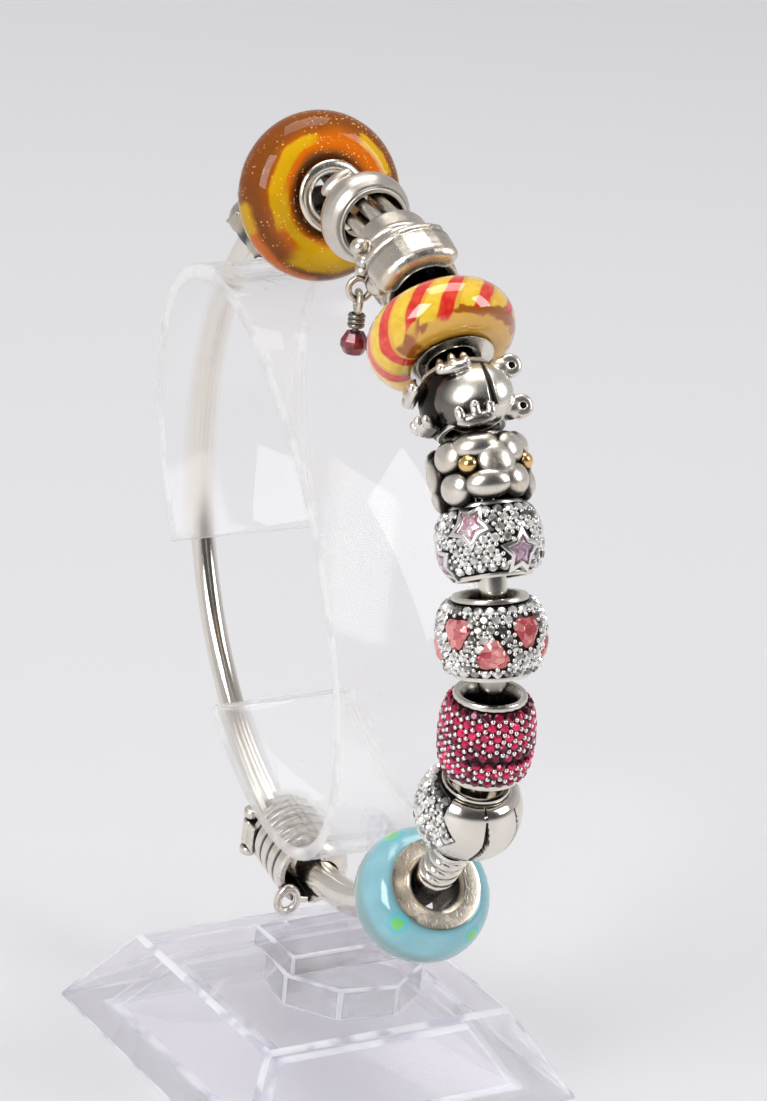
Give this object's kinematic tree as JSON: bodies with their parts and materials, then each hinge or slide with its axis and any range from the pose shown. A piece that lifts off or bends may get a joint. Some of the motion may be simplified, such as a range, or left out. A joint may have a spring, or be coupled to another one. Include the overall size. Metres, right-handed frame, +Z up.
{
  "type": "charm bangle on a clear display stand",
  "caption": "Round silver bangle threaded with glass, figural and stone-set charms, hinged barrel clasp, hanging on a clear cuff stand.",
  "frame": {"origin": "middle of the object's outline, on the level of the underside of the stand's base", "axes": "+Z up from the base towards the top of the bangle; -Y towards the side where most of the charms are; +X to the right of a viewer who looks along +Y"},
  "size_m": [0.0398, 0.0771, 0.095],
  "materials": {
    "clear_acrylic": "polished clear acrylic, lightly scuffed",
    "polished_silver": "polished silver with light wear",
    "oxidised_silver": "silver darkened in its recesses",
    "amber_glass": "polished brown and yellow glass",
    "honey_glass": "polished honey glass with red and yellow stripes",
    "blue_glass": "polished light blue glass",
    "red_stone": "faceted dark red"
  },
  "bodies": {
    "bangle_and_stand": {"stand_base": "clear_acrylic", "stand_disc": "clear_acrylic", "stand_block": "clear_acrylic", "stand_upright": "clear_acrylic", "stand_cuff": "clear_acrylic", "bangle_band": "polished_silver", "clasp_pin": "polished_silver", "amber_glass": "amber_glass", "amber_core": "polished_silver", "striped_glass": "honey_glass", "striped_core": "polished_silver", "turquoise_glass": "blue_glass", "turquoise_core": "polished_silver", "petal_charm": "oxidised_silver", "dome_spacer": "polished_silver", "figure_charm": "oxidised_silver", "drop_wire": "oxidised_silver", "drop_stone": "red_stone", "frog_charm": "oxidised_silver", "flower_bead": "oxidised_silver", "star_bead": "oxidised_silver", "trillion_bead": "oxidised_silver", "ruby_bead": "oxidised_silver", "half_bead": "oxidised_silver"},
    "clasp_cover": {"clasp_lid": "polished_silver"}
  },
  "joints": [
    {"name": "clasp_hinge", "type": "hinge", "parent": "bangle_and_stand", "child": "clasp_cover", "pos_m": [0.00007, 0.01227, 0.01718], "axis": [0.0567, 0.1516, -0.9868], "range_deg": [0, 60]}
  ]
}
